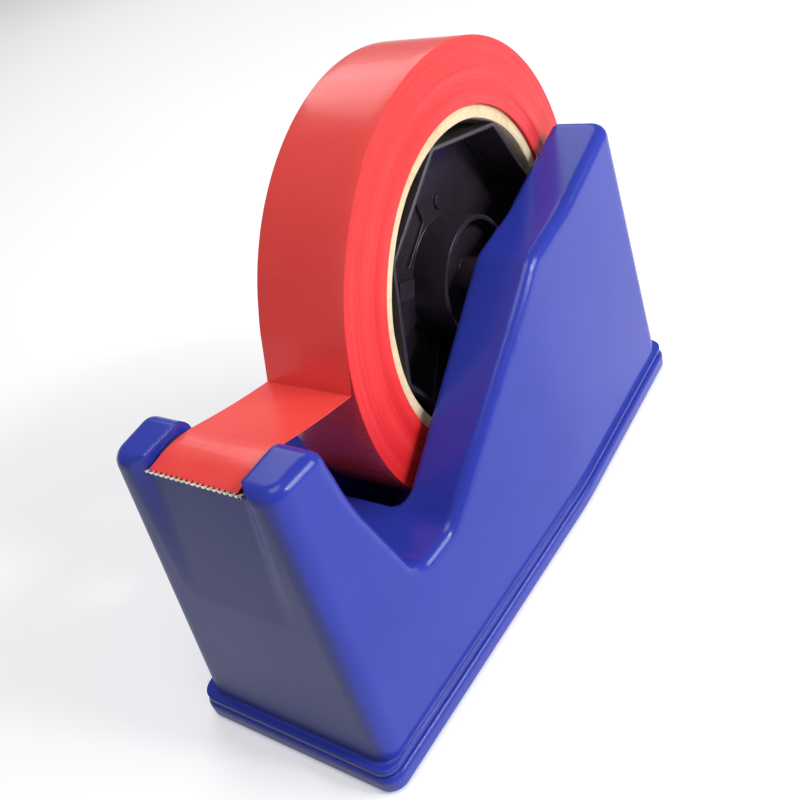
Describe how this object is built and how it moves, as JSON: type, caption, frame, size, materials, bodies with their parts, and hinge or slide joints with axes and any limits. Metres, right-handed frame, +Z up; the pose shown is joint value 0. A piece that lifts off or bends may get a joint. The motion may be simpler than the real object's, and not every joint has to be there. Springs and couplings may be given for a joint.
{
  "type": "tape dispenser",
  "caption": "Weighted desk tape dispenser: horned body with a toothed blade, and a lift-out roll of tape on a clip-together hub that turns on an axle pin.",
  "frame": {"origin": "middle of the housing's footprint on the surface that the non-slip pad stands on", "axes": "+X across the width, to the right seen from the blade end; +Y along the length, from the blade end to the roll end; +Z up"},
  "size_m": [0.0736, 0.1595, 0.1206],
  "materials": {
    "blue_plastic": "glossy",
    "black_plastic": "glossy",
    "grey_plastic": "matt",
    "pad_rubber": "matt",
    "steel": "brushed",
    "zinc_screw": "satin",
    "ballast_iron": "rough",
    "cardboard": "matt",
    "tape_film": "glossy"
  },
  "bodies": {
    "base": {"housing": "blue_plastic", "base_plate": "grey_plastic", "base_pad": "pad_rubber", "base_screws": "zinc_screw", "ballast_right": "ballast_iron", "ballast_left": "ballast_iron", "ballast_front": "ballast_iron", "blade": "steel", "blade_clamp": "black_plastic", "blade_screws": "zinc_screw"},
    "axle_pin": {"axle": "steel", "tape_tail": "tape_film"},
    "spool": {"hub_right": "black_plastic", "hub_left": "black_plastic", "core": "cardboard", "tape_roll": "tape_film"}
  },
  "joints": [
    {"name": "roll_lift", "type": "slide", "parent": "base", "child": "axle_pin", "axis": [0, 0.766, 0.6428], "range_m": [0, 0.12]},
    {"name": "roll_spin", "type": "hinge", "parent": "axle_pin", "child": "spool", "pos_m": [0, 0.0248, 0.0641], "axis": [1, 0, 0], "continuous": true}
  ]
}
